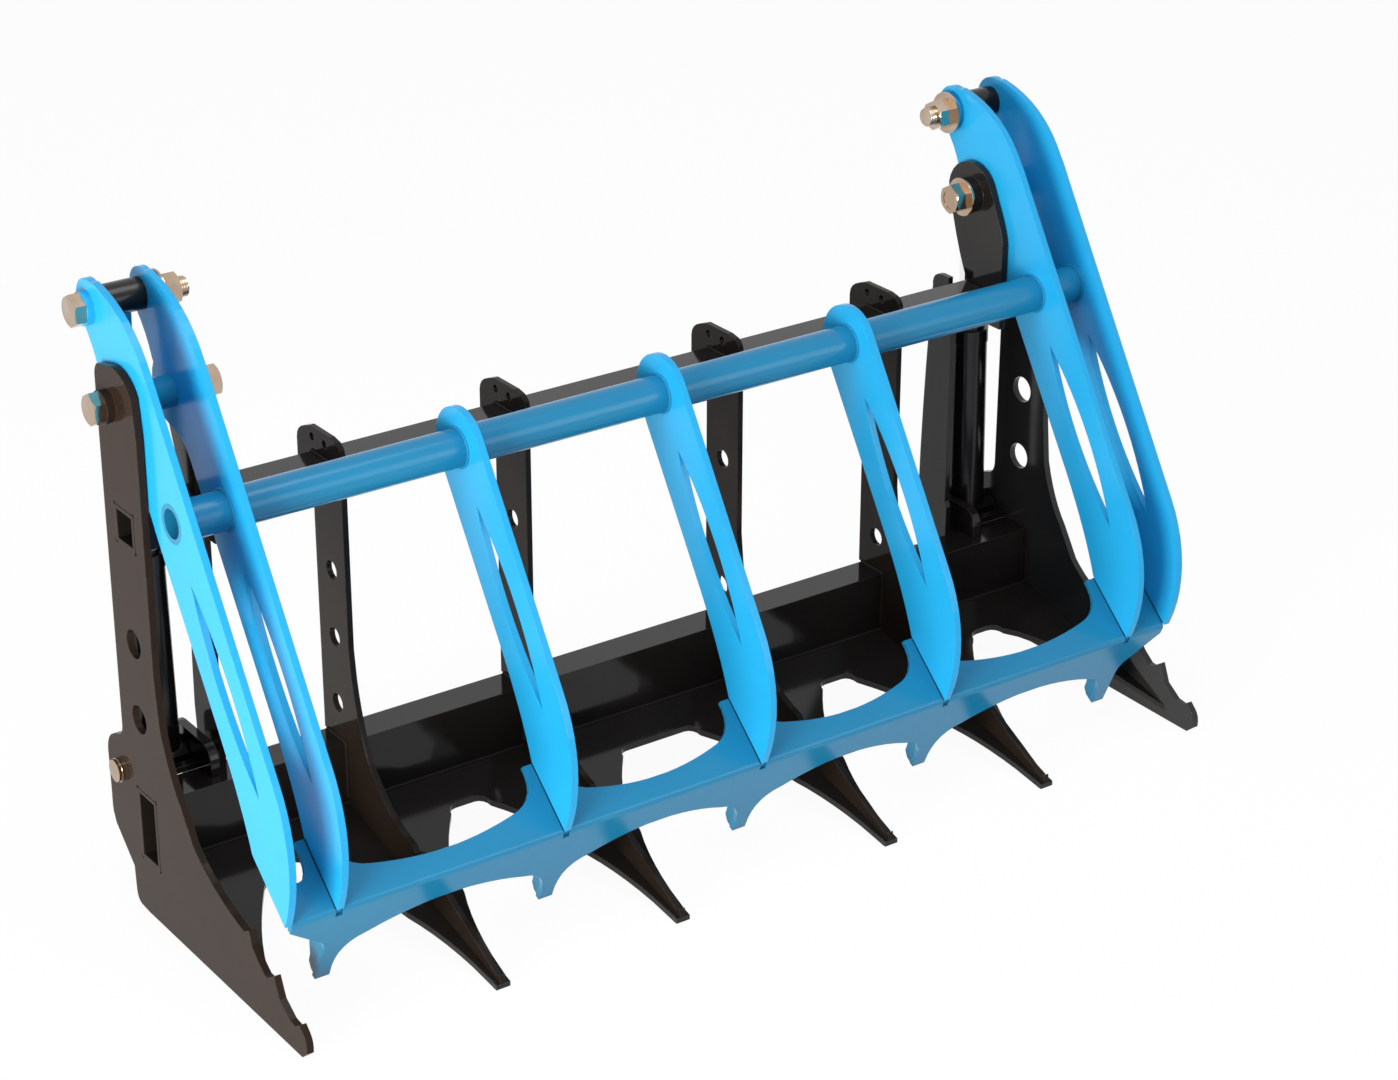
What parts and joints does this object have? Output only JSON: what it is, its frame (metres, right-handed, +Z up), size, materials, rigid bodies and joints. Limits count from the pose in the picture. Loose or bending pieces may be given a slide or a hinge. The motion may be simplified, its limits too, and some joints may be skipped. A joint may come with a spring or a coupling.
{
  "type": "root rake grapple",
  "caption": "Root rake grapple for a skid steer: black welded rake frame with serrated tines, and a blue clamping jaw swung by hydraulic cylinders.",
  "frame": {"origin": "middle of the rake's overall box, on the ground plane under it", "axes": "+X to the right seen from the tine side, +Y rearward to the loader, +Z up"},
  "size_m": [1.894, 0.6526, 1.073],
  "materials": {
    "frame_black": "satin",
    "jaw_blue": "gloss",
    "jaw_blue_deep": "gloss",
    "zinc": "satin",
    "cylinder_black": "gloss",
    "chrome": "polished",
    "steel": "machined"
  },
  "bodies": {
    "frame": {"end_plate_left": "frame_black", "end_plate_right": "frame_black", "rib_1": "frame_black", "rib_2": "frame_black", "rib_3": "frame_black", "rib_4": "frame_black", "floor_plate": "frame_black", "upper_tube": "frame_black", "lower_box": "frame_black", "ear_left": "frame_black", "ear_right": "frame_black", "bay_plate_left": "frame_black", "bay_plate_right": "frame_black", "bracket_left": "frame_black", "bracket_right": "frame_black", "strap_left": "frame_black", "strap_right": "frame_black", "coupler_lip": "frame_black", "lock_plate": "frame_black", "pivot_bolt_left": "zinc", "pivot_bolt_right": "zinc", "pivot_nut_left": "zinc", "pivot_nut_right": "zinc", "base_pin_left": "zinc", "base_pin_right": "zinc"},
    "jaw": {"arm_a": "jaw_blue", "arm_b": "jaw_blue", "arm_e1": "jaw_blue", "arm_e2": "jaw_blue", "arm_e3": "jaw_blue", "arm_c": "jaw_blue", "arm_d": "jaw_blue", "jaw_tube": "jaw_blue_deep", "toothed_bar": "jaw_blue_deep", "gussets": "jaw_blue", "sleeve_left": "jaw_blue", "sleeve_right": "jaw_blue", "lever_bolt_left": "zinc", "lever_bolt_right": "zinc", "lever_nut_left": "zinc", "lever_nut_right": "zinc", "washer_left": "zinc", "washer_right": "zinc"},
    "barrel_left_body": {"barrel_left": "cylinder_black", "base_tube_left": "cylinder_black", "gland_left": "cylinder_black", "ports_left": "zinc"},
    "rod_left_body": {"rod_left": "chrome", "rod_eye_left": "cylinder_black", "piston_left": "steel"},
    "barrel_right_body": {"barrel_right": "cylinder_black", "base_tube_right": "cylinder_black", "gland_right": "cylinder_black", "ports_right": "zinc"},
    "rod_right_body": {"rod_right": "chrome", "rod_eye_right": "cylinder_black", "piston_right": "steel"}
  },
  "joints": [
    {"name": "jaw_swing", "type": "hinge", "parent": "frame", "child": "jaw", "pos_m": [0, 0.20749, 0.895], "axis": [-1, 0, 0], "range_deg": [0, 45]},
    {"name": "cylinder_left_tilt", "type": "hinge", "parent": "frame", "child": "barrel_left_body", "pos_m": [-0.845, 0.26749, 0.236], "axis": [-1, 0, 0], "range_deg": [0, 6]},
    {"name": "rod_left_stroke", "type": "slide", "parent": "barrel_left_body", "child": "rod_left_body", "axis": [0, 0.028, 0.9996], "range_m": [-0.0895, 0]},
    {"name": "cylinder_right_tilt", "type": "hinge", "parent": "frame", "child": "barrel_right_body", "pos_m": [0.845, 0.26749, 0.236], "axis": [-1, 0, 0], "range_deg": [0, 6]},
    {"name": "rod_right_stroke", "type": "slide", "parent": "barrel_right_body", "child": "rod_right_body", "axis": [0, 0.028, 0.9996], "range_m": [-0.0895, 0]}
  ],
  "couplings": [
    {"joint": "cylinder_left_tilt", "follows": "jaw_swing", "ratio": 0.1316},
    {"joint": "rod_left_stroke", "follows": "jaw_swing", "m_per_rad": -0.11351},
    {"joint": "cylinder_right_tilt", "follows": "jaw_swing", "ratio": 0.1316},
    {"joint": "rod_right_stroke", "follows": "jaw_swing", "m_per_rad": -0.11351}
  ]
}
